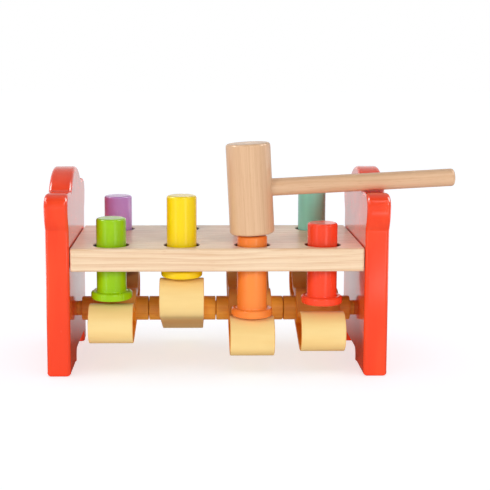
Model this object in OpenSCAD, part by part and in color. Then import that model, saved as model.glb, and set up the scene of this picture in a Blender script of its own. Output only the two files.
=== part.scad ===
// Toddler's pounding bench: eight flanged pegs slide through a board that is held between two end
// plates, and under each pair of pegs a see-saw rocker turns on one axle. Knocking one peg of a pair
// down lifts the other. A small hammer stands on one of the pegs.
// X runs along the bench, Y from the front to the back and Z up. The origin is on the table, at the
// middle of the whole outline, with the hammer's handle that reaches past the right end plate.

/* [Frame] */
// Clear length between the two end plates
span = 189.5; // [170:0.5:230]
// Depth of the board, and of the end plates below their ears
depth = 100; // [98:1:120]
// Height of the board's top face above the table
board_top = 84; // [80:1:90]
// Thickness of the board
board_thick = 15; // [12:0.5:15.5]
// Thickness of each end plate
plate_thick = 15.25; // [12:0.25:20]
// Height of the centre of the end plates' round ears
ear_height = 109.7; // [108:0.1:111]
// Radius of each ear
ear_r = 9.5; // [8.5:0.25:10.5]
// Reach of each ear past the plate's straight side
ear_bulge = 5; // [3:0.25:6]
// Radius of the flank below each ear
flank_r = 22; // [18:0.5:26]
// Step from the ear's reach back to the flank's
flank_step = 0.15; // [0.1:0.05:0.3]
// Depth of the flat between an ear and the dome below the ear's top
shoulder_dip = 0.45; // [0.2:0.05:2]
// Radius of the dome between the ears
dome_r = 39; // [36:0.5:40]
// Height of the top of the dome
dome_top = 132; // [126:0.5:136]
// Length of the front foot along the plate
front_foot = 37; // [28:0.5:42]
// Length of the back foot along the plate
back_foot = 11.5; // [9:0.5:24]
// Height of the arch between the feet
arch_height = 8.5; // [6:0.25:14]
// Radius of the arch's upper corners
arch_corner_r = 4; // [2:0.25:5.5]
// Rounding of the end plates' outer edges
plate_round = 2.5; // [1:0.25:3]
// Rounding of the board's edges
board_round = 1.5; // [0.5:0.25:2]

/* [Tenons] */
// Length of the stub tenon at each end of the board
tenon_length = 7; // [4:0.5:9]
// Width of the tenon along the plate
tenon_width = 60; // [40:1:80]
// Thickness of the tenon
tenon_thick = 8; // [5:0.5:10]

/* [Pegs] */
// Distance between the front row and the back row
row_gap = 68; // [66:0.5:70]
// Diameter of a peg
peg_d = 19.5; // [18:0.25:20]
// Length of a peg with its flange
peg_length = 53.4; // [51:0.2:54]
// Diameter of the flange that keeps a peg under the board
flange_d = 27; // [24:0.5:28]
// Thickness of the flange
flange_thick = 5.2; // [4:0.1:5.4]
// Rounding of a peg's top rim
peg_round = 1.6; // [0.5:0.1:2.4]
// Rounding of the flange's rims
flange_round = 1.6; // [0.5:0.1:2.4]
// Fillet between a peg and its flange
flange_fillet = 1; // [0.5:0.1:1.2]
// Clearance round a peg in its hole
peg_clearance = 1.75; // [1.3:0.05:2]
// Height at which friction holds each front peg clear of its rocker; a held peg leans on its hole's back
front_hang = [2.3, 0.45, 0, 4.7]; // [0:0.05:5]
// Easing of the board's hole rims
hole_ease = 0.5; // [0.2:0.1:1]

/* [Rockers] */
// Height of the axle above the table
axle_height = 34; // [33:0.25:34.5]
// Diameter of the axle
axle_d = 10; // [8:0.5:11]
// Depth of the axle's seat in each end plate
axle_seat = 9; // [6:0.5:10]
// Diameter of a rocker's hub
hub_d = 16.4; // [15:0.2:17]
// Room between the row of hubs and each end plate
end_gap = 2.75; // [2:0.25:6]
// Gap between one hub's end and the next
hub_gap = 0.5; // [0.3:0.1:1]
// Rounding of a hub's rims
hub_round = 0.6; // [0.3:0.1:1]
// Width of a rocker along the axle
rocker_width = 29; // [24:0.5:31]
// Distance from the axle to the centre of each round nose
nose_reach = 37; // [36:0.25:38]
// Height of a nose's centre above the axle when the rocker is level
nose_rise = 2.6; // [2:0.1:3]
// Radius of a nose
nose_r = 13; // [12.5:0.1:13.2]
// Radius of the hump over the hub
hump_r = 13.6; // [12.5:0.1:14.5]
// Radius of the saddle between the hump and a nose
saddle_r = 14; // [10:0.5:18]
// Thickness of the wall that bends round each hollow nose
wall = 3; // [2.5:0.1:3.5]
// Tilt of each rocker at rest, positive with its front nose up; the pegs stop it at 20.5 each way
rest_tilts = [-6.6, 19.6, -20.5, -15.5]; // [-20.5:0.1:20.5]

/* [Hammer] */
// Diameter of the hammer's head
head_d = 29; // [26:0.5:32]
// Length of the head
head_length = 59; // [58:0.5:62]
// Rounding of the head's rims
head_round = 2; // [0.5:0.25:4]
// Diameter of the handle
handle_d = 11.4; // [10:0.2:12]
// Length of the handle outside the head
handle_length = 118; // [90:1:140]
// Depth of the handle's hole in the head
handle_seat = 22; // [14:0.5:25]
// Rounding of the handle's two ends
handle_round = 2; // [0.5:0.25:4]

/* [Fits] */
// Glue line round a piece that is fixed in its seat
glue_gap = 0.05; // [0.02:0.01:0.1]
// Running clearance between a hub and the axle
axle_clearance = 0.1; // [0.05:0.01:0.1]
// Gap between pieces that rest on each other
rest_gap = 0.55; // [0.5:0.05:0.6]
// Gap between a held peg and the wall of its hole
hold_gap = 0.3; // [0.2:0.05:0.5]
// Overrun of a cut past the face that it opens
overrun = 1; // [0.5:0.1:2]

/* [Hidden] */
$fn = 96;

// The columns and rows, with a column's place measured from mid-bench or from the origin
columns = len(rest_tilts);
pitch = (span - 2 * end_gap) / columns;
function column_offset(i) = (i - (columns - 1) / 2) * pitch;
function column_x(i) = bench_x + column_offset(i);
FRONT = -1;
BACK = 1;
SIDES = [FRONT, BACK];
function on_side(side, point) = [side * point[0], point[1]];
row_y = row_gap / 2;
HAMMER_COLUMN = 2;

// The frame
ear_reach = depth / 2 + ear_bulge;
ear_y = ear_reach - ear_r;
flank_y = ear_reach - flank_step - flank_r;
shoulder_top = ear_height + ear_r - shoulder_dip;
dome_height = dome_top - dome_r;
arch_front = front_foot - depth / 2;
arch_width = depth - front_foot - back_foot;
board_under = board_top - board_thick;
tenon_base = board_under + (board_thick - tenon_thick) / 2;
hole_d = peg_d + 2 * peg_clearance;

// The rocker: the saddle's centre is where its circle touches both the nose's and the hump's
rocker_base = nose_rise - nose_r;
saddle_from_hump = hump_r + saddle_r;
saddle_from_nose = nose_r + saddle_r;
nose_distance = norm([nose_reach, nose_rise]);
saddle_along = (saddle_from_hump ^ 2 - saddle_from_nose ^ 2 + nose_distance ^ 2) / (2 * nose_distance);
saddle_across = sqrt(saddle_from_hump ^ 2 - saddle_along ^ 2);
nose_way = [nose_reach, nose_rise] / nose_distance;
saddle_centre = saddle_along * nose_way + saddle_across * [-nose_way[1], nose_way[0]];
nose_centre = [nose_reach, nose_rise];
function hump_touch(inset) = saddle_centre * (hump_r - inset) / saddle_from_hump;
function nose_touch(inset) =
    nose_centre + (saddle_centre - nose_centre) * (nose_r - inset) / saddle_from_nose;

// A peg stands on its rocker's nose, unless it is held above it: the nose's top for a tilt, with side
// FRONT or BACK, then a peg's base and its place across the bench
function nose_top(tilt, side) =
    axle_height - side * nose_reach * sin(tilt) + nose_rise * cos(tilt) + nose_r;
function hang(i, side) = side == FRONT ? front_hang[i] : 0;
function peg_base(i, side) = nose_top(rest_tilts[i], side) + rest_gap + hang(i, side);
function peg_y(i, side) = side * row_y + (hang(i, side) > 0 ? peg_clearance - hold_gap : 0);

// The hammer stands on one front peg and its handle lies on the right plate, on the highest of the
// flat, the ear and the dome below it: a round's seat is where the handle's axis would touch it
handle_r = handle_d / 2;
function round_seat(r, place) =
    place[1] + sqrt(max(0, (r + handle_r + rest_gap) ^ 2 - (place[0] - row_y) ^ 2));
struck_top = peg_base(HAMMER_COLUMN, FRONT) + peg_length;
handle_seat_height = max(
    shoulder_top + handle_r + rest_gap,
    round_seat(ear_r, [ear_y, ear_height]),
    round_seat(dome_r, [0, dome_height])
);
handle_lift = handle_seat_height - struck_top - rest_gap - head_length / 2;
handle_run = span / 2 - column_offset(HAMMER_COLUMN);
inner_rim_run = handle_run + plate_round + peg_d / 2;
outer_rim_run = handle_run + plate_thick - plate_round - peg_d / 2;
hammer_angle = atan2(handle_lift, handle_lift > 0 ? inner_rim_run : outer_rim_run);
hammer_base = struck_top + rest_gap + peg_d / 2 * abs(tan(hammer_angle));

// Mid-bench and the end plates' inner faces, placed so that the origin halves the whole length: the
// farthest point is on the rounded lower rim of the handle's end
handle_end = column_offset(HAMMER_COLUMN) + handle_round
    + (head_d / 2 + handle_length - handle_round) * cos(hammer_angle)
    - (head_length / 2 - handle_r + handle_round) * sin(hammer_angle);
bench_x = (span / 2 + plate_thick - handle_end) / 2;
left_face = bench_x - span / 2;
right_face = bench_x + span / 2;

PINE = "#efd3a8";
BEECH = "#dfb887";
CREAM = "#f6d78e";
RED_PAINT = "#ee4527";

// A flat shape drawn in (Y, Z) is given a thickness along X, from start
module along_x(start, thick) {
    translate([start, 0, 0]) rotate([90, 0, 90]) linear_extrude(height = thick) children();
}

// A round bar along X
module bar_x(start, length, d) {
    along_x(start, length) circle(d = d);
}

// A flat rectangle with rounded corners, from its lower left corner
module round_square(size, rounding) {
    translate([rounding, 0]) square([size[0] - 2 * rounding, size[1]]);
    translate([0, rounding]) square([size[0], size[1] - 2 * rounding]);
    for (x = [rounding, size[0] - rounding], y = [rounding, size[1] - rounding])
        translate([x, y]) circle(r = rounding);
}

// A block with all its edges rounded, from its lowest corner
module round_block(size, rounding) {
    intersection() {
        linear_extrude(height = size[2]) round_square([size[0], size[1]], rounding);
        rotate([90, 0, 90]) linear_extrude(height = size[0]) round_square([size[1], size[2]], rounding);
        translate([0, size[1], 0]) rotate([90, 0, 0]) linear_extrude(height = size[1])
            round_square([size[0], size[2]], rounding);
    }
}

// Half of a round bar's section, from the axis outwards, with its two outer corners rounded
module bar_section(d, length, rounding) {
    square([d / 2 - rounding, length]);
    translate([0, rounding]) square([d / 2, length - 2 * rounding]);
    for (height = [rounding, length - rounding])
        translate([d / 2 - rounding, height]) circle(r = rounding);
}

// A round bar on the Z axis with rounded rims
module round_bar(d, length, rounding) {
    rotate_extrude() bar_section(d, length, rounding);
}

// A disc of an end plate, with its rims rounded and its axis along X
module plate_disc(start, place, r) {
    translate([start, place[0], place[1]]) rotate([0, 90, 0]) round_bar(2 * r, plate_thick, plate_round);
}

// The arch under an end plate, open at the table
module arch_outline() {
    translate([arch_front, -overrun]) square([arch_width, arch_height - arch_corner_r + overrun]);
    translate([arch_front + arch_corner_r, 0]) square([arch_width - 2 * arch_corner_r, arch_height]);
    for (y = [arch_corner_r, arch_width - arch_corner_r])
        translate([arch_front + y, arch_height - arch_corner_r]) circle(r = arch_corner_r);
}

// A block of an end plate, as wide as it is told and centred, from the table up
module slab(start, width, height) {
    translate([start, -width / 2, 0]) round_block([plate_thick, width, height], plate_round);
}

// The flank that swells from an end plate's straight side to its ear: a large disc below the ear's middle
module flank(start, side) {
    intersection() {
        plate_disc(start, [side * flank_y, ear_height], flank_r);
        translate([start - overrun, side * flank_y - flank_r - overrun, ear_height - flank_r - overrun])
            cube([plate_thick + 2 * overrun, 2 * (flank_r + overrun), flank_r + overrun]);
    }
}

// An end plate from start along X: a slab on two feet with two ears and a dome at its head. The
// board's tenon and the axle have their seats in its inner face
module plate(start) {
    color(RED_PAINT) difference() {
        union() {
            slab(start, depth, ear_height + plate_round);
            slab(start, 2 * ear_y, shoulder_top);
            for (side = SIDES) {
                plate_disc(start, [side * ear_y, ear_height], ear_r);
                flank(start, side);
            }
            plate_disc(start, [0, dome_height], dome_r);
        }
        along_x(start - overrun, plate_thick + 2 * overrun) arch_outline();
        tenons(glue_gap);
        axle_bar(glue_gap);
    }
}

module end_plate_left() { plate(left_face - plate_thick); }
module end_plate_right() { plate(right_face); }

// The board's two stub tenons in one bar, grown all round by a gap
module tenons(gap) {
    along_x(left_face - tenon_length - gap, span + 2 * (tenon_length + gap))
        translate([-tenon_width / 2 - gap, tenon_base - gap])
            square([tenon_width + 2 * gap, tenon_thick + 2 * gap]);
}

// The axle, grown all round by a gap
module axle_bar(gap) {
    translate([0, 0, axle_height])
        bar_x(left_face - axle_seat - gap, span + 2 * (axle_seat + gap), axle_d + 2 * gap);
}

// A peg's hole through the board, wider at both rims, from the board's underside up
module peg_hole() {
    rim_d = hole_d + 2 * (hole_ease + overrun);
    translate([0, 0, -overrun]) cylinder(d = hole_d, h = board_thick + 2 * overrun);
    translate([0, 0, -overrun]) cylinder(d1 = rim_d, d2 = hole_d, h = hole_ease + overrun);
    translate([0, 0, board_thick - hole_ease]) cylinder(d1 = hole_d, d2 = rim_d, h = hole_ease + overrun);
}

// The board with a stub tenon at each end and a hole for each peg
module peg_board() {
    color(PINE) difference() {
        union() {
            translate([left_face + glue_gap, -depth / 2, board_under])
                round_block([span - 2 * glue_gap, depth, board_thick], board_round);
            tenons(0);
        }
        for (i = [0 : columns - 1], side = SIDES)
            translate([column_x(i), side * row_y, board_under]) peg_hole();
    }
}

module axle() { color(BEECH) axle_bar(0); }

// The outline of a level rocker about the axle, drawn in by inset: two noses, a hump over the hub and
// a flat base
module rocker_outline(inset) {
    base = rocker_base + inset;
    difference() {
        union() {
            circle(r = hump_r - inset);
            for (side = SIDES) translate(on_side(side, nose_centre)) circle(r = nose_r - inset);
            polygon([
                on_side(FRONT, [nose_reach, base]), on_side(BACK, [nose_reach, base]),
                on_side(BACK, nose_centre), on_side(BACK, nose_touch(inset)),
                on_side(BACK, hump_touch(inset)), on_side(FRONT, hump_touch(inset)),
                on_side(FRONT, nose_touch(inset)), on_side(FRONT, nose_centre),
            ]);
        }
        for (side = SIDES) translate(on_side(side, saddle_centre)) circle(r = saddle_r + inset);
        translate([-hump_r, base - hump_r]) square([2 * hump_r, hump_r]);
    }
}

// A rocker's section: its wall bends round two open noses and a solid boss round the hub
module rocker_section() {
    difference() {
        rocker_outline(0);
        difference() {
            rocker_outline(wall);
            circle(d = hub_d + 2 * wall);
        }
        circle(d = hub_d + 2 * glue_gap);
    }
}

// What turns with rocker i, moved to the axle and tilted
module on_axle(i) {
    translate([column_x(i), 0, axle_height]) rotate([-rest_tilts[i], 0, 0]) children();
}

module rocker(i) {
    color(CREAM) on_axle(i) along_x(-rocker_width / 2, rocker_width) rocker_section();
}

module hub(i) {
    color(BEECH) on_axle(i) translate([-(pitch - hub_gap) / 2, 0, 0]) rotate([0, 90, 0]) difference() {
        round_bar(hub_d, pitch - hub_gap, hub_round);
        translate([0, 0, -overrun])
            cylinder(d = axle_d + 2 * axle_clearance, h = pitch - hub_gap + 2 * overrun);
    }
}

// The section of the fillet in the corner between a peg and its flange
module fillet_section() {
    translate([peg_d / 2 - overrun, flange_thick - overrun]) difference() {
        square(flange_fillet + overrun);
        translate([flange_fillet + overrun, flange_fillet + overrun]) circle(r = flange_fillet);
    }
}

// A peg in column i, on the front or back row, with its flange below
module peg(i, side, paint) {
    color(paint) translate([column_x(i), peg_y(i, side), peg_base(i, side)]) rotate_extrude() {
        bar_section(flange_d, flange_thick, flange_round);
        bar_section(peg_d, peg_length, peg_round);
        fillet_section();
    }
}

// What belongs to the hammer, in its own frame: the head stands on Z and the handle points along X
module on_hammer() {
    translate([column_x(HAMMER_COLUMN), FRONT * row_y, hammer_base])
        rotate([0, -hammer_angle, 0]) children();
}

module hammer_head() {
    color(BEECH) on_hammer() difference() {
        round_bar(head_d, head_length, head_round);
        translate([head_d / 2 - handle_seat - glue_gap, 0, head_length / 2])
            bar_x(0, handle_seat + glue_gap + overrun, handle_d + 2 * glue_gap);
    }
}

module hammer_handle() {
    color(BEECH) on_hammer() translate([head_d / 2 - handle_seat, 0, head_length / 2]) rotate([0, 90, 0])
        round_bar(handle_d, handle_seat + handle_length, handle_round);
}

end_plate_left();
end_plate_right();
peg_board();
axle();
rocker(0);  // rocker_1
rocker(1);  // rocker_2
rocker(2);  // rocker_3
rocker(3);  // rocker_4
hub(0);  // hub_1
hub(1);  // hub_2
hub(2);  // hub_3
hub(3);  // hub_4
peg(0, FRONT, "#8fc31f");  // peg_green
peg(1, FRONT, "#fcd411");  // peg_yellow
peg(2, FRONT, "#f98439");  // peg_orange
peg(3, FRONT, "#ee4527");  // peg_red
peg(0, BACK, "#a85fae");  // peg_purple
peg(1, BACK, "#4a90d0");  // peg_blue
peg(2, BACK, "#ec7fa6");  // peg_pink
peg(3, BACK, "#63b99b");  // peg_teal
hammer_head();
hammer_handle();
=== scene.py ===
# %% [markdown]
# # A pounding bench in paint, pine and beech
# The bench is eight painted pegs in a pine board, two lacquered end plates, four see-saw rockers on one
# axle, and a beech hammer. Its turned pieces, the pegs, the hubs, the axle and the hammer, come from the
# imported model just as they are, and get their finishes here. The pieces that are cut from a sheet and
# sanded round the edges, the end plates, the board and the rockers, are worked out again with numpy, so
# that their edges are as soft as the real ones.

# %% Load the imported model
import math

import bpy
import mathutils
import numpy as np
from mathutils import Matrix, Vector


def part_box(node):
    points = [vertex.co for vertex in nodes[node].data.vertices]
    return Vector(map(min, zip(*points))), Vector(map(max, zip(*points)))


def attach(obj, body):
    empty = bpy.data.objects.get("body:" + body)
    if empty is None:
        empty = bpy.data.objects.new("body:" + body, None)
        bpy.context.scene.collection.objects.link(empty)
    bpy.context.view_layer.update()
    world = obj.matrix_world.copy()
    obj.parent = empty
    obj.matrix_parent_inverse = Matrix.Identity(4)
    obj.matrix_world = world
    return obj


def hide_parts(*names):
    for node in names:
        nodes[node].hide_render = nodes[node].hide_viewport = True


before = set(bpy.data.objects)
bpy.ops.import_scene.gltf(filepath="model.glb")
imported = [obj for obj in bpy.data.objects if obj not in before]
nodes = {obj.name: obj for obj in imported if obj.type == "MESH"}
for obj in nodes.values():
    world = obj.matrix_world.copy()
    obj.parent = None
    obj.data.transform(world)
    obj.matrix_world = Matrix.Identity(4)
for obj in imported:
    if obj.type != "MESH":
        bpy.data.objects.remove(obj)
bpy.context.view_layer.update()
MM = 0.001

# %% [markdown]
# ## Where things are
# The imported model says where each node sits, so nothing is placed by eye. The plates give the middle of
# the bench, and the hubs give the axle and the four columns.

# %% Landmarks of the bench
left_low, left_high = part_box("end_plate_left")
right_low, right_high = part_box("end_plate_right")
mid_bench = (left_high.x + right_low.x) / 2
hub_boxes = [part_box(f"hub_{i}") for i in (1, 2, 3, 4)]
column_x = [(low.x + high.x) / 2 for low, high in hub_boxes]
axle_z = (hub_boxes[0][0].z + hub_boxes[0][1].z) / 2
print("mid bench", round(mid_bench / MM, 2), "axle height", round(axle_z / MM, 2))

# %% [markdown]
# ## The camera
# The picture is taken from the front, a little left of the bench and above it, with a long lens. The
# board's front edge stays level in it, so the lens is shifted rather than the camera turned. The focal
# length and the point straight ahead of the lens are in pixels of a square frame of 490, because that is
# how they were measured.

# %% Set up the camera
FRAME_PX = 490
FOCAL_PX = 1077.6
AXIS_PX = (205.8, 196.0)
PITCH, YAW = 0.1265, 0.0100
EYE = (mid_bench - 14.2 * MM, -727.3 * MM, 204.1 * MM)

lens = bpy.data.cameras.new("bench_camera")
lens.sensor_width = 36
lens.lens = FOCAL_PX * lens.sensor_width / FRAME_PX
lens.shift_x = 0.5 - AXIS_PX[0] / FRAME_PX
lens.shift_y = AXIS_PX[1] / FRAME_PX - 0.5
camera = bpy.data.objects.new("bench_camera", lens)
camera.location = EYE
camera.rotation_euler = (math.pi / 2 - PITCH, 0, -YAW)
bpy.context.scene.collection.objects.link(camera)
bpy.context.scene.camera = camera
print("lens", round(lens.lens, 1), "mm, shift", round(lens.shift_x, 3), round(lens.shift_y, 3))

# %% [markdown]
# ## Shader helpers
# Every finish is a small graph of nodes. One helper adds a node and fills its sockets, with a value or
# with a link from another node. Another reads the piece's own coordinates in millimetres, turned so that
# the grain of the wood runs along the first axis.

# %% Node helpers for numbers
def add(tree, kind, inputs=(), **settings):
    """A node of the kind, with its settings and its input sockets filled by name or number."""
    made = tree.nodes.new("ShaderNode" + kind)
    for key, value in settings.items():
        setattr(made, key, value)
    for key, value in dict(inputs).items():
        if isinstance(value, bpy.types.NodeSocket):
            tree.links.new(value, made.inputs[key])
        else:
            made.inputs[key].default_value = value
    return made


def number(tree, operation, a, b=0.0):
    """One number worked out from one or two by a Math node's operation."""
    return add(tree, "Math", {0: a, 1: b}, operation=operation).outputs[0]


def sum_of(tree, a, b):
    """a + b."""
    return number(tree, "ADD", a, b)


def product(tree, a, b):
    """a * b."""
    return number(tree, "MULTIPLY", a, b)


def spread(tree, value, low, high, to_low=0.0, to_high=1.0):
    """The value's stretch from low to high, moved to another stretch and held at its ends."""
    sockets = {0: value, 1: low, 2: high, 3: to_low, 4: to_high}
    return add(tree, "MapRange", sockets, interpolation_type="SMOOTHSTEP").outputs[0]


print("number helpers ready")

# %% Node helpers for space and colour
def grain_space(tree, turn, pith=(0, 0, 0)):
    """Millimetres from the pith, with the first axis along the grain."""
    spot = add(tree, "TexCoord").outputs["Object"]
    sockets = {"Vector": spot, "Location": pith, "Rotation": turn, "Scale": (MM, MM, MM)}
    return add(tree, "Mapping", sockets, vector_type="TEXTURE").outputs[0]


def cloud(tree, vector, cells, detail=2.0, rough=0.5):
    """Noise from 0 to 1 in a space that is stretched by three numbers, the cells per millimetre along
    each axis."""
    space = add(tree, "VectorMath", {0: vector, 1: cells}, operation="MULTIPLY").outputs[0]
    sockets = {"Vector": space, "Scale": 1.0, "Detail": detail, "Roughness": rough}
    return add(tree, "TexNoise", sockets).outputs[0]


def mixed(tree, factor, a, b):
    """A colour between a and b."""
    sockets = {0: factor, 6: a, 7: b}
    return add(tree, "Mix", sockets, data_type="RGBA").outputs[2]


def shade(text):
    """A colour written as six hexadecimal digits, made linear for the shaders."""
    parts = np.array([int(text[k:k + 2], 16) for k in (1, 3, 5)]) / 255
    linear = np.where(parts <= 0.04045, parts / 12.92, ((parts + 0.055) / 1.055) ** 2.4)
    return (*linear.tolist(), 1.0)


def painted_shade_over(tree, colour, painted_shade):
    """The colour, or, where the piece carries a painted shade mark, the painted shade colour if there is
    one: a darker colour painted where shade falls.
    """
    if not painted_shade:
        return colour
    mark = add(tree, "Attribute", attribute_name="painted_shade").outputs["Fac"]
    return mixed(tree, mark, colour, shade(painted_shade))


def new_finish(name):
    """An empty material with its tree and its Principled shader."""
    finish = bpy.data.materials.new(name)
    finish.use_nodes = True
    tree = finish.node_tree
    return finish, tree, tree.nodes["Principled BSDF"]


print("space and colour helpers ready")

# %% [markdown]
# ## Bare wood
# Pine and beech are grown, so their pattern is solid: year rings round a pith, fibres drawn out along the
# grain and short dark pores. A picture mapped on the outside would break at every edge. Rings worked out
# in space show as lines along a side and as arcs on an end, just as they do when real wood is cut. The
# walls of the board's drilled holes are painted darker: painted shade for the shade inside the holes.

# %% Wood finish
# Noise cells per millimetre, along the grain and the two ways across it.
BEND_CELLS = (0.006, 0.035, 0.035)
STRAND_CELLS = (0.02, 1.5, 1.5)
PORE_CELLS = (0.16, 2.6, 2.6)
TONE_CELLS = (0.008, 0.05, 0.05)
TONE_WEIGHT = 0.35


def wood_finish(name, pale, deep, pith, turn, ring_mm, ring, fibre, pore, gloss, wave=2.4, coat=0.1,
                painted_shade=None):
    """Rings: the distance from the pith, bent by a slow noise times wave, in units of ring_mm. Each year
    darkens slowly and ends sharply. Fibres and pores: two noises drawn out along the grain. The sum of
    these and a slow tone, by their weights, mixes pale into deep. Where a piece carries a painted shade
    mark it takes the painted shade colour, a darker colour painted where shade falls."""
    finish, tree, shader = new_finish(name)
    space = grain_space(tree, turn, pith)
    across = add(tree, "VectorMath", {0: space, 1: (0, 1, 1)}, operation="MULTIPLY").outputs[0]
    away = add(tree, "VectorMath", {0: across}, operation="LENGTH").outputs["Value"]
    bend = product(tree, cloud(tree, space, BEND_CELLS), wave * ring_mm)
    year = number(tree, "FRACT", number(tree, "DIVIDE", sum_of(tree, away, bend), ring_mm))
    late = number(tree, "SUBTRACT", spread(tree, year, 0.15, 0.9), spread(tree, year, 0.92, 1.0))
    strand = cloud(tree, space, STRAND_CELLS, 4.0, 0.6)
    fibres = spread(tree, strand, 0.25, 0.75)
    pores = spread(tree, cloud(tree, space, PORE_CELLS, 1.0), 0.60, 0.74)
    tone = cloud(tree, space, TONE_CELLS)
    depth, total = 0.0, ring + fibre + pore + TONE_WEIGHT
    for part, weight in ((late, ring), (fibres, fibre), (pores, pore), (tone, TONE_WEIGHT)):
        depth = sum_of(tree, depth, product(tree, part, weight))
    blend = spread(tree, depth, 0.1 * total, 0.8 * total)
    colour = mixed(tree, blend, shade(pale), shade(deep))
    tree.links.new(painted_shade_over(tree, colour, painted_shade), shader.inputs["Base Color"])
    rough = spread(tree, strand, 0.2, 0.8, gloss - 0.07, gloss + 0.09)
    tree.links.new(rough, shader.inputs["Roughness"])
    height = number(tree, "SUBTRACT", strand, product(tree, pores, 0.8))
    bump = add(tree, "Bump", {"Height": height, "Strength": 0.22, "Distance": 0.12 * MM})
    tree.links.new(bump.outputs[0], shader.inputs["Normal"])
    shader.inputs["Coat Weight"].default_value = coat
    shader.inputs["Coat Roughness"].default_value = 0.2
    return finish


print("wood finish ready")

# %% Pine and beech
ALONG_X = (0, 0, 0)
HAMMER_TILT = math.radians(3.082)
ALONG_HANDLE = (0, -HAMMER_TILT, 0)
ALONG_HEAD = (0, -math.pi / 2 - HAMMER_TILT, 0)
head_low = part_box("hammer_head")[0]
# The dark brown #5e3d22 goes on the walls of the drilled holes: painted shade for the shade inside them.
pine = wood_finish("pine_board", "#f8debe", "#e3bb92", (0.04, 0.05, -0.03), ALONG_X, 2.7, ring=0.4,
                   fibre=0.8, pore=0.3, gloss=0.3, wave=4.5, coat=0.12, painted_shade="#5e3d22")
# The hubs and the axle take a deeper, more orange beech than the hammer: painted shade for the shade under
# the board.
beech_hub_painted_shade = wood_finish("beech_hub_painted_shade", "#ffb640", "#f0a02e", (0, 0.05, axle_z - 0.04), ALONG_X, 3.5,
                        ring=0.3, fibre=0.6, pore=0.45, gloss=0.42)
beech_handle = wood_finish("beech_handle", "#e3bb96", "#d2a47c", (0, -0.08, 0.09), ALONG_HANDLE, 3.0,
                           ring=0.25, fibre=0.5, pore=0.4, gloss=0.36, coat=0.2)
beech_head = wood_finish("beech_head", "#e6be97", "#d9ac84", (head_low.x - 0.02, -0.09, 0), ALONG_HEAD, 3.2,
                         ring=0.2, fibre=0.5, pore=0.4, gloss=0.34, coat=0.2)
print("wood finishes:", [m.name for m in (pine, beech_hub_painted_shade, beech_handle, beech_head)])

# %% [markdown]
# ## Paint
# The plates, pegs and rockers are wood under several coats of paint. Paint is even in colour, but it is
# never a flat colour: brush and spray leave it a shade thicker here and there, the grain below shows
# faintly through as long soft ripples, and handling leaves dull rubs. The gloss comes from a clear coat on
# the shader.

# %% Paint finish
# Noise cells per millimetre, along the lay of the paint and the two ways across it.
COAT_CELLS = (0.012, 0.07, 0.07)
PEEL_CELLS = (0.9, 0.9, 0.9)
RUB_CELLS = (0.08, 0.5, 0.5)
BRUSHED = (0.025, 0.7, 0.7)
TURNED = (0.8, 0.03, 0.03)


def paint_finish(name, paint, thick, turn, gloss, coat=0.3, ripple=0.10, lay=BRUSHED, painted_shade=None):
    """Colour: paint mixed with its thicker shade by a slow noise. Height: ripples of the grain or the
    lathe, drawn out by the lay, and a fine orange peel. Roughness: the gloss, raised where a drawn-out
    noise leaves rubs. Where a piece carries a painted shade mark it takes the painted shade colour, a
    darker colour painted where shade falls."""
    finish, tree, shader = new_finish(name)
    space = grain_space(tree, turn)
    slow = cloud(tree, space, COAT_CELLS, 3.0)
    grain = cloud(tree, space, lay, 3.0)
    peel = cloud(tree, space, PEEL_CELLS, 1.0)
    rubs = spread(tree, cloud(tree, space, RUB_CELLS, 4.0, 0.65), 0.58, 0.72)
    tint = sum_of(tree, spread(tree, slow, 0.3, 0.7), product(tree, grain, 0.35))
    colour = mixed(tree, spread(tree, tint, 0.1, 1.3), shade(paint), shade(thick))
    tree.links.new(painted_shade_over(tree, colour, painted_shade), shader.inputs["Base Color"])
    dull = sum_of(tree, product(tree, rubs, 0.10), product(tree, slow, 0.06))
    tree.links.new(sum_of(tree, dull, gloss), shader.inputs["Roughness"])
    height = sum_of(tree, grain, product(tree, peel, 0.3))
    bump = add(tree, "Bump", {"Height": height, "Strength": ripple, "Distance": 0.15 * MM})
    tree.links.new(bump.outputs[0], shader.inputs["Normal"])
    shader.inputs["Coat Weight"].default_value = coat
    shader.inputs["Coat Roughness"].default_value = 0.06
    return finish


print("paint finish ready")

# %% Red, cream and the eight peg colours
UP_Z = (0, -math.pi / 2, 0)
PEG_PAINTS = {
    "green": ("#a2d606", "#94c904"),
    "yellow": ("#fede0c", "#f8d004"),
    "orange": ("#ff9240", "#fa8432"),
    "red": ("#ff4e2c", "#f84222"),
    "purple": ("#d5a0e6", "#c891da"),
    "blue": ("#5aa0e0", "#4a8ed2"),
    "pink": ("#f394b6", "#ea80a6"),
    "teal": ("#96e2cc", "#86d4be"),
}
red_lacquer = paint_finish("red_lacquer", "#ff4e26", "#f8431e", UP_Z, gloss=0.16, coat=0.6)
# The amber #f89d22 is painted shade: it goes on the rockers' sides, in their hollows and on the band
# between the noses, where shade falls.
cream_paint = paint_finish("cream_paint", "#f8da94", "#f3cf86", ALONG_X, gloss=0.38, coat=0.15,
                           painted_shade="#f89d22")
peg_paints = {name: paint_finish("peg_" + name, *pair, UP_Z, gloss=0.2, ripple=0.06, lay=TURNED)
              for name, pair in PEG_PAINTS.items()}
print("paints:", len(peg_paints) + 2)

# %% [markdown]
# ## The turned pieces
# Pegs, hubs, axle and hammer are turned on a lathe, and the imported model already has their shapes, small
# roundings included. A mesh that is right is best left alone, so only its material slots are filled.

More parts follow.
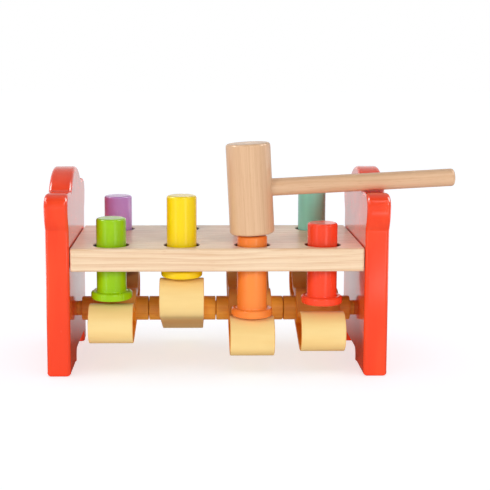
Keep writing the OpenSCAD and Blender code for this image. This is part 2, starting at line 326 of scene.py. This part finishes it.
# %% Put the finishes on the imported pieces
finish_of = {"axle": beech_hub_painted_shade, "hammer_head": beech_head, "hammer_handle": beech_handle}
finish_of.update({f"hub_{i}": beech_hub_painted_shade for i in (1, 2, 3, 4)})
finish_of.update({"peg_" + name: finish for name, finish in peg_paints.items()})
for node, finish in finish_of.items():
    for place in nodes[node].material_slots:
        place.material = finish
print("finished as packed:", ", ".join(finish_of))

# %% [markdown]
# ## Pieces that are sawn from a sheet
# An end plate, the board and a rocker are all made in the same way: an outline is sawn out of a board, and
# then every edge is sanded round, the inner ones too. So one function makes all three. It carries the
# outline across the thickness, and near each face it draws the outline in along a quarter circle. The
# outline is put together from arcs and straight runs and spaced evenly. Those of the plates and rockers
# are also blurred a little, which softens their inner corners as paint does.

# %% Outlines in two dimensions
def arc(centre, radius, start, stop, count=60):
    """Points round a centre: centre + radius * (cos a, sin a), with a from start to stop in degrees."""
    a = np.radians(np.linspace(start, stop, count))
    return np.asarray(centre) + radius * np.column_stack([np.cos(a), np.sin(a)])


def even_loop(points, step):
    """The closed line through the points, with new points at equal steps along it."""
    closed = np.vstack([points, points[:1]])
    run = np.concatenate([[0], np.cumsum(np.hypot(*np.diff(closed, axis=0).T))])
    count = int(round(run[-1] / step))
    places = np.arange(count) * run[-1] / count
    return np.column_stack([np.interp(places, run, closed[:, k]) for k in (0, 1)])


def softened(loop, reach):
    """The closed line blurred along itself: each point becomes the mean of its neighbours, weighted by
    exp(-(away / reach)^2 / 2)."""
    step = np.hypot(*(loop[1] - loop[0]))
    away = np.minimum(np.arange(len(loop)), len(loop) - np.arange(len(loop))) * step
    weight = np.exp(-0.5 * (away / reach) ** 2)
    share = np.fft.fft(weight / weight.sum())
    return np.column_stack([np.fft.ifft(np.fft.fft(loop[:, k]) * share).real for k in (0, 1)])


def round_hole(centre, radius, count=96):
    """A circle that runs clockwise, as a hole's line does."""
    return arc(centre, radius, 360, 0, count + 1)[:-1]


def angle_of(vector):
    """A vector's angle in degrees."""
    return math.degrees(math.atan2(vector[1], vector[0]))


print("outline tools ready")

# %% Bands with rounded edges
def rounding(start, stop, ease, steps):
    """Rows from start to stop, close together near the two faces. For each row: its place across; how far
    it is drawn in, ease - sqrt(ease^2 - (ease - d)^2) at a distance d < ease from a face; and how much of
    its normal points across, from -1 on the first face to 1 on the last."""
    phi = np.linspace(0, np.pi / 2, steps)
    across = np.concatenate([start + ease * (1 - np.cos(phi)), stop - ease * (1 - np.cos(phi[::-1]))])
    inset = ease * (1 - np.sin(np.concatenate([phi, phi[::-1]])))
    lean = np.concatenate([-np.cos(phi), np.cos(phi[::-1])])
    return across, inset, lean


def band(loop, share, across, inset, lean):
    """A loop carried across the rows. A point is (across, loop - inset * share * out), and its normal is
    (lean, sqrt(1 - lean^2) * out), where out is the loop's direction turned a quarter to the right."""
    along = np.roll(loop, -1, 0) - np.roll(loop, 1, 0)
    along /= np.hypot(*along.T)[:, None]
    out = np.column_stack([along[:, 1], -along[:, 0]])
    ring = loop[None] - out[None] * (inset[:, None] * share)[..., None]
    side = out[None] * np.sqrt(1 - lean ** 2)[:, None, None]
    grid = (len(across), len(loop))
    points = np.dstack([np.broadcast_to(across[:, None], grid), ring])
    normals = np.dstack([np.broadcast_to(lean[:, None], grid), side])
    return points.reshape(-1, 3), normals.reshape(-1, 3)


def band_faces(cells):
    """Four-cornered faces between the rows of a grid of point numbers, which closes on itself."""
    ahead = np.roll(cells, -1, 1)
    return np.stack([cells[:-1], ahead[:-1], ahead[1:], cells[1:]], -1).reshape(-1, 4).tolist()


def cap_faces(places, rims, way):
    """Triangles that fill a face of the sheet between its rims, with their corners in the order that makes
    them look out: way is -1 on the first face and 1 on the last."""
    flat = [[mathutils.Vector((*spot, 0)) for spot in places[rim, 1:]] for rim in rims]
    caps = np.concatenate(rims)[np.array(mathutils.geometry.tessellate_polygon(flat))]
    a, b, c = (places[caps[:, k], 1:] for k in (0, 1, 2))
    area = (b - a)[:, 0] * (c - a)[:, 1] - (b - a)[:, 1] * (c - a)[:, 0]
    return np.where((area * way > 0)[:, None], caps, caps[:, ::-1]).tolist()


print("band tools ready")

# %% Carry outlines across a thickness
def eased_sheet(name, loops, start, stop, ease, turned, centre, finish, steps=7, shares=None,
                shade_marks=(0.0, 0.0, 0.0)):
    """Every loop in millimetres, the outer one anticlockwise and holes clockwise, is carried across from
    start to stop, with its edges rounded by ease times its share, or each point's. Then (across, first,
    second) is turned, by a 3 x 3 rotation, and moved to the centre. The three painted shade marks go on the
    outer band, which may have one for each point, on the faces and in the holes."""
    across, inset, lean = rounding(start, stop, ease, steps)
    near_face = (lean ** 4)[:, None]
    places, normals, painted_shade, faces, grids, first = [], [], [], [], [], 0
    for k, loop in enumerate(loops):
        points, outward = band(loop, shares[k] if shares else 1.0, across, inset, lean)
        places.append(points)
        normals.append(outward)
        own = (shade_marks[2] if k else shade_marks[0]) * np.ones(len(loop))
        painted_shade.append((near_face * shade_marks[1] + (1 - near_face) * own).ravel())
        grids.append(first + np.arange(len(points)).reshape(len(across), len(loop)))
        faces += band_faces(grids[-1])
        first += len(points)
    places, normals = np.vstack(places), np.vstack(normals)
    for row, way in ((0, -1), (-1, 1)):
        faces += cap_faces(places, [cells[row] for cells in grids], way)
    mesh = bpy.data.meshes.new(name)
    mesh.from_pydata(((places @ turned.T) * MM + np.asarray(centre)).tolist(), [], faces)
    mesh.polygons.foreach_set("use_smooth", np.ones(len(mesh.polygons), bool))
    # Each point's painted shade mark, which the finishes read to mix in their painted shade colour.
    mesh.attributes.new("painted_shade", "FLOAT", "POINT").data.foreach_set("value", np.concatenate(painted_shade))
    mesh.normals_split_custom_set_from_vertices((normals @ turned.T).tolist())
    mesh.materials.append(finish)
    piece = bpy.data.objects.new(name, mesh)
    bpy.context.scene.collection.objects.link(piece)
    print(name, len(mesh.vertices), "points", len(mesh.polygons), "faces")
    return piece


print("sheet tool ready")

# %% [markdown]
# ## The end plates
# An end plate is a slab on two feet. Its sides swell into a round ear at the front and at the back, and a
# dome rises between the ears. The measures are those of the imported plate, so the new plate fills the same
# space, with one rounding that runs round the whole outline, and a finer one round the arch between the
# feet.

# %% End plate outline
SIDE, FRONT_FOOT, BACK_FOOT, ARCH, ARCH_R = 50.0, 37.0, 11.5, 8.5, 4.0
EAR_Z, EAR_R, EAR_REACH, FLANK_R = 109.7, 9.5, 55.0, 22.0
SHOULDER, DOME_R, DOME_TOP = 118.75, 39.0, 132.0
FOOT_R, LOOP_STEP, PLATE_BLUR = 1.0, 0.5, 0.7


def half_plate(arch_y):
    """Half an outline from the arch's corner, arch_y from the middle, to the dome's top: foot, side,
    flank, ear, flat and dome."""
    ear_y, flank_y, dome_z = EAR_REACH - EAR_R, EAR_REACH - FLANK_R, DOME_TOP - DOME_R
    kink = math.degrees(math.acos((SIDE - flank_y) / FLANK_R))
    ear_end = math.degrees(math.asin((SHOULDER - EAR_Z) / EAR_R))
    dome_start = math.degrees(math.asin((SHOULDER - dome_z) / DOME_R))
    return np.vstack([
        arc((arch_y - ARCH_R, ARCH - ARCH_R), ARCH_R, 90, 0, 30),
        [(arch_y, 0)],
        arc((SIDE - FOOT_R, FOOT_R), FOOT_R, -90, 0, 20),
        arc((flank_y, EAR_Z), FLANK_R, -kink, 0),
        arc((ear_y, EAR_Z), EAR_R, 0, 180 - ear_end),
        arc((0, dome_z), DOME_R, dome_start, 90),
    ])


back_half = half_plate(SIDE - BACK_FOOT)
front_half = half_plate(SIDE - FRONT_FOOT)[-2::-1] * (-1, 1)
plate_outline = softened(even_loop(np.vstack([back_half, front_half]), LOOP_STEP), PLATE_BLUR)
print("plate outline:", len(plate_outline), "points")

# %% End plate pieces
EDGE, ARCH_EDGE = 2.5, 1.0
ABOVE_ARCH, BESIDE_ARCH = 1.0, 2.0
UPRIGHT = np.eye(3)
plate_y, plate_z = plate_outline.T
in_arch = (plate_z < ARCH + ABOVE_ARCH) & (plate_y < SIDE - BACK_FOOT + BESIDE_ARCH)
in_arch &= plate_y > FRONT_FOOT - SIDE - BESIDE_ARCH
edge_share = np.where(in_arch, ARCH_EDGE / EDGE, 1.0)
for side, (low, high) in (("left", (left_low, left_high)), ("right", (right_low, right_high))):
    plate = eased_sheet("plate_" + side, [plate_outline], low.x / MM, high.x / MM, EDGE, UPRIGHT,
                        (0, 0, 0), red_lacquer, shares=[edge_share])
    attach(plate, "bench")
    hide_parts("end_plate_" + side)

# %% [markdown]
# ## The board
# The board is planed pine with eight drilled holes. All its edges are sanded round, the ends too, so a
# fine dark groove shows where it meets an end plate. It is the same kind of sheet, lying flat: the outline
# is the board in plan, with a circle for each hole.

# %% Board outline and piece
BOARD_UNDER, BOARD_TOP, BOARD_EDGE, BOARD_CORNER, BOARD_STEP = 69.0, 84.0, 1.5, 2.0, 0.6
END_GAP, END_REACH, END_EDGE = 0.5, 1.0, 0.6
HOLE_R, HOLE_EDGE, ROW_Y = 11.5, 0.6, 34.0
LYING = np.roll(np.eye(3), 1, axis=1)
first_x, last_x = left_high.x / MM + END_GAP, right_low.x / MM - END_GAP
board_outline = even_loop(np.vstack([
    arc((last_x - BOARD_CORNER, BOARD_CORNER - SIDE), BOARD_CORNER, -90, 0, 12),
    arc((last_x - BOARD_CORNER, SIDE - BOARD_CORNER), BOARD_CORNER, 0, 90, 12),
    arc((first_x + BOARD_CORNER, SIDE - BOARD_CORNER), BOARD_CORNER, 90, 180, 12),
    arc((first_x + BOARD_CORNER, BOARD_CORNER - SIDE), BOARD_CORNER, 180, 270, 12),
]), BOARD_STEP)
board_holes = [round_hole((x / MM, y), HOLE_R) for x in column_x for y in (-ROW_Y, ROW_Y)]
at_end = (board_outline[:, 0] > last_x - END_REACH) | (board_outline[:, 0] < first_x + END_REACH)
end_share = np.where(at_end, END_EDGE / BOARD_EDGE, 1.0)
# The hole walls carry the full mark, so they are painted with the pine's dark brown painted shade.
board = eased_sheet("pine_board", [board_outline] + board_holes, BOARD_UNDER, BOARD_TOP, BOARD_EDGE, LYING,
                    (0, 0, 0), pine, shares=[end_share] + [HOLE_EDGE / BOARD_EDGE] * len(board_holes),
                    shade_marks=(0.0, 0.0, 1.0))
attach(board, "bench")
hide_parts("peg_board")

# %% [markdown]
# ## The see-saw rockers
# A rocker is a wooden band bent over two noses, with a boss in the middle that holds its hub. It is the
# same sheet again, with three holes: the bore for the hub and the hollow in each nose. Each hollow is
# bounded by the nose's inner arc, the saddle's arc, the boss and the flat base. The sides, the hollows and
# the band between the noses are painted a deeper amber than the noses: painted shade for the shade there.

# %% Rocker outline
NOSE, NOSE_R, HUMP_R, SADDLE_R = np.array([37.0, 2.6]), 13.0, 13.6, 14.0
WALL, HUB_R, BASE_Z = 3.0, 8.25, NOSE[1] - NOSE_R
BAND_BLUR, HOLLOW_BLUR = 0.3, 0.5


def saddle_centre():
    """Where the saddle's circle touches the hump's and the nose's: the third corner of a triangle whose
    sides are the distances between the three centres."""
    base = np.hypot(*NOSE)
    to_hump, to_nose = HUMP_R + SADDLE_R, NOSE_R + SADDLE_R
    along = (to_hump ** 2 - to_nose ** 2 + base ** 2) / (2 * base)
    way = NOSE / base
    return along * way + math.sqrt(to_hump ** 2 - along ** 2) * np.array([-way[1], way[0]])


def rocker_loops():
    """The outer line, the two hollows and the hub's bore of a level rocker."""
    saddle = saddle_centre()
    at_nose, at_hump = angle_of(saddle - NOSE), angle_of(saddle)
    half = np.vstack([
        arc(NOSE, NOSE_R, -90, at_nose),
        arc(saddle, SADDLE_R, at_nose - 180, at_hump - 180),
        arc((0, 0), HUMP_R, at_hump, 90),
    ])
    outer = np.vstack([half, half[-2::-1] * (-1, 1)])
    boss_r, inner_r, far = HUB_R + WALL, SADDLE_R + WALL, np.hypot(*saddle)
    turn = math.degrees(math.acos((far ** 2 + boss_r ** 2 - inner_r ** 2) / (2 * far * boss_r)))
    top = at_hump - turn
    meet = boss_r * np.array([math.cos(math.radians(top)), math.sin(math.radians(top))])
    foot = math.degrees(math.asin((BASE_Z + WALL) / boss_r))
    hollow = np.vstack([
        arc(NOSE, NOSE_R - WALL, -90, at_nose),
        arc(saddle, inner_r, at_nose - 180, angle_of(meet - saddle)),
        arc((0, 0), boss_r, top, foot),
    ])
    back = softened(even_loop(hollow, LOOP_STEP), HOLLOW_BLUR)
    front = back * (-1, 1)
    around = softened(even_loop(outer, LOOP_STEP), BAND_BLUR)
    return [around, back[::-1], front, round_hole((0, 0), HUB_R)]


rocker_lines = rocker_loops()
print("rocker outline:", [len(line) for line in rocker_lines], "points")

# %% Rocker pieces
ROCKER_WIDE, ROCKER_EASE = 29.0, 0.7
REST_TILTS = (-6.6, 19.6, -20.5, -15.5)
# Painted shade on the rocker's band: strongest between the noses, fading out towards them, and lighter
# within BASE_SKIN of the flat base. The sides and hollows take it in full.
SHADE_END, SHADE_FADE, SHADE_TOP, SHADE_BASE, BASE_SKIN = 33.0, 12.0, 0.7, 0.25, 1.0
rocker_y, rocker_z = rocker_lines[0].T
between = np.clip((SHADE_END - np.abs(rocker_y)) / SHADE_FADE, 0, 1)
band_shade = between * np.where(rocker_z < BASE_Z + BASE_SKIN, SHADE_BASE, SHADE_TOP)
for i, tilt in enumerate(REST_TILTS):
    middle = (column_x[i], 0, axle_z)
    tipped = np.array(mathutils.Matrix.Rotation(-math.radians(tilt), 3, "X"))
    rocker = eased_sheet(f"see_saw_{i + 1}", rocker_lines, -ROCKER_WIDE / 2, ROCKER_WIDE / 2, ROCKER_EASE,
                         tipped, middle, cream_paint, steps=5, shade_marks=(band_shade, 1.0, 1.0))
    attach(rocker, f"seesaw_{i + 1}")
    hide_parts(f"rocker_{i + 1}")

# %% [markdown]
# ## Floor, background and light
# The bench stands on a white table in a studio. The floor takes the real shadow; for the camera it also
# glows, so that it ends in the same white as the background and the shadow stays pale. It is a cool white,
# which keeps the warm light from the red and amber pieces from tinting the shadow. The bench is lit by two
# soft boxes in front, a broad low fill that reaches in under the board, a plain lamp behind and an even
# sky. The table has its own lamp overhead, so that each can be set without the other. Glossy paint mirrors
# the white backdrop behind the bench, a dimmer room in front of it and narrow images of four soft boxes.

# %% Kinds of ray, and the soft boxes that gloss sees
# Each box's azimuth and half width in degrees, and its level.
MIRROR_BOXES = ((27, 7, 1.0), (-46, 7, 0.6), (100, 16, 1.5), (-100, 16, 1.5))
BOX_CORE, BOX_RIM = 0.6, 1.4


def ray_kinds(tree):
    """Two numbers that are 1 for camera rays, and for mirror or glass rays."""
    path = add(tree, "LightPath").outputs
    mirror_ray = number(tree, "MAXIMUM", path["Is Glossy Ray"], path["Is Transmission Ray"])
    return path["Is Camera Ray"], mirror_ray


def by_ray(tree, ray, usual, own):
    """The usual number, or for rays of the kind their own."""
    return spread(tree, ray, 0.0, 1.0, usual, own)


def box_image(tree, x, y):
    """The soft boxes as paint mirrors them: each box's level in a window of azimuth, 0 in front and
    positive to the right, which fades from the core to the rim of its half width."""
    azimuth = number(tree, "ARCTAN2", x, product(tree, y, -1.0))
    total = 0.0
    for middle, half, level in MIRROR_BOXES:
        off = number(tree, "ABSOLUTE", number(tree, "SUBTRACT", azimuth, math.radians(middle)))
        edge = math.radians(half)
        total = sum_of(tree, total, spread(tree, off, BOX_CORE * edge, BOX_RIM * edge, level, 0.0))
    return total


print("soft boxes in gloss:", len(MIRROR_BOXES))

# %% Floor
FLOOR_WHITE, FLOOR_SEEN = (0.9, 0.9, 0.9, 1), (0.545, 0.58, 0.64, 1)
FLOOR_DIM = (0.3, 0.3, 0.3, 1)
FLOOR_BOUNCE, FLOOR_GLOW, FLOOR_MIRROR, POOL_LEVEL = 0.26, 0.635, 0.58, 1.5
BEHIND_BENCH, ROUND_BENCH = (0.02, 0.25), (0.25, 0.4)
FLOOR_HALF = 6.0

floor_finish, tree, shader = new_finish("floor_white")
camera_ray, mirror_ray = ray_kinds(tree)
tone = mixed(tree, camera_ray, FLOOR_WHITE, FLOOR_SEEN)
tree.links.new(mixed(tree, mirror_ray, tone, FLOOR_DIM), shader.inputs["Base Color"])
place = add(tree, "TexCoord").outputs["Object"]
away = add(tree, "VectorMath", {0: place}, operation="LENGTH").outputs["Value"]
spot = add(tree, "SeparateXYZ", {0: place}).outputs
behind = spread(tree, spot["Y"], *BEHIND_BENCH, 0.0, FLOOR_MIRROR)
pool = spread(tree, away, *ROUND_BENCH, 0.0, POOL_LEVEL)
mirrored = sum_of(tree, behind, product(tree, box_image(tree, spot["X"], spot["Y"]), pool))
glow = by_ray(tree, camera_ray, FLOOR_BOUNCE, FLOOR_GLOW)
tree.links.new(by_ray(tree, mirror_ray, glow, mirrored), shader.inputs["Emission Strength"])
shader.inputs["Emission Color"].default_value = (1, 1, 1, 1)
shader.inputs["Roughness"].default_value = 0.9
shader.inputs["Specular IOR Level"].default_value = 0
corners = np.array([(-1, -1, 0), (1, -1, 0), (1, 1, 0), (-1, 1, 0)]) * FLOOR_HALF
floor_mesh = bpy.data.meshes.new("floor")
floor_mesh.from_pydata(corners.tolist(), [], [(0, 1, 2, 3)])
floor_mesh.materials.append(floor_finish)
floor = bpy.data.objects.new("floor", floor_mesh)
bpy.context.scene.collection.objects.link(floor)
print("floor", 2 * FLOOR_HALF, "m wide")

# %% Sky
SKY_LEVEL, ZENITH, ROOM_LEVEL, BOX_LEVEL = 0.5, 0.45, 0.25, 6.5
SKY_FADE, FRONT_TO_BACK = (0.10, 0.75), (-0.3, 0.3)
BOX_FOOT, BOX_HEAD = (0.42, 0.55), (0.8, 0.92)

sky = bpy.data.worlds.new("even_sky")
sky.use_nodes = True
bpy.context.scene.world = sky
tree = sky.node_tree
camera_ray, mirror_ray = ray_kinds(tree)
way = add(tree, "SeparateXYZ", {0: add(tree, "TexCoord").outputs["Generated"]}).outputs
fade = spread(tree, way["Z"], *SKY_FADE, 1.0, ZENITH)
backdrop = product(tree, spread(tree, way["Y"], *FRONT_TO_BACK, ROOM_LEVEL, 1.0), fade)
tall = product(tree, spread(tree, way["Z"], *BOX_FOOT), spread(tree, way["Z"], *BOX_HEAD, 1.0, 0.0))
lamps = product(tree, product(tree, box_image(tree, way["X"], way["Y"]), tall), BOX_LEVEL)
level = by_ray(tree, mirror_ray, product(tree, fade, SKY_LEVEL), sum_of(tree, backdrop, lamps))
level = by_ray(tree, camera_ray, level, 1.0)
tree.links.new(level, tree.nodes["Background"].inputs["Strength"])
tree.nodes["Background"].inputs["Color"].default_value = (1, 1, 1, 1)
print("sky level", SKY_LEVEL)

# %% Soft boxes
def lit_by(name, state):
    """A collection that tells a lamp to light the floor alone, or all but the floor."""
    group = bpy.data.collections.new(name)
    group.objects.link(floor)
    group.collection_objects[0].light_linking.link_state = state
    return group


def soft_box(name, azimuth, elevation, wide, level, lit):
    """A far soft lamp at an azimuth (0 in front, positive to the right). A white sheet that faces it would
    show the level, and it looks as wide as the angle. It lights one group, and gloss doesn't show it,
    because the sky holds the boxes' mirror images."""
    lamp = bpy.data.lights.new(name, "SUN")
    lamp.angle = math.radians(wide)
    lamp.energy = level * math.pi
    box = bpy.data.objects.new(name, lamp)
    a, e = math.radians(azimuth), math.radians(elevation)
    out = mathutils.Vector((math.sin(a) * math.cos(e), -math.cos(a) * math.cos(e), math.sin(e)))
    box.rotation_euler = (-out).to_track_quat("-Z", "Y").to_euler()
    bpy.context.scene.collection.objects.link(box)
    box.light_linking.receiver_collection = lit
    box.visible_glossy = False
    print(name, "level", level)


bench_alone, floor_alone = lit_by("bench_alone", "EXCLUDE"), lit_by("floor_alone", "INCLUDE")
soft_box("right_box", 27, 24, 14, 0.25, bench_alone)
soft_box("left_box", -50, 24, 14, 0.28, bench_alone)
soft_box("low_fill", -6, 9, 50, 0.18, bench_alone)
soft_box("back_box", 180, 35, 30, 0.2, bench_alone)
soft_box("table_box", 0, 85, 70, 0.4, floor_alone)
bpy.context.scene.view_settings.view_transform = "Standard"
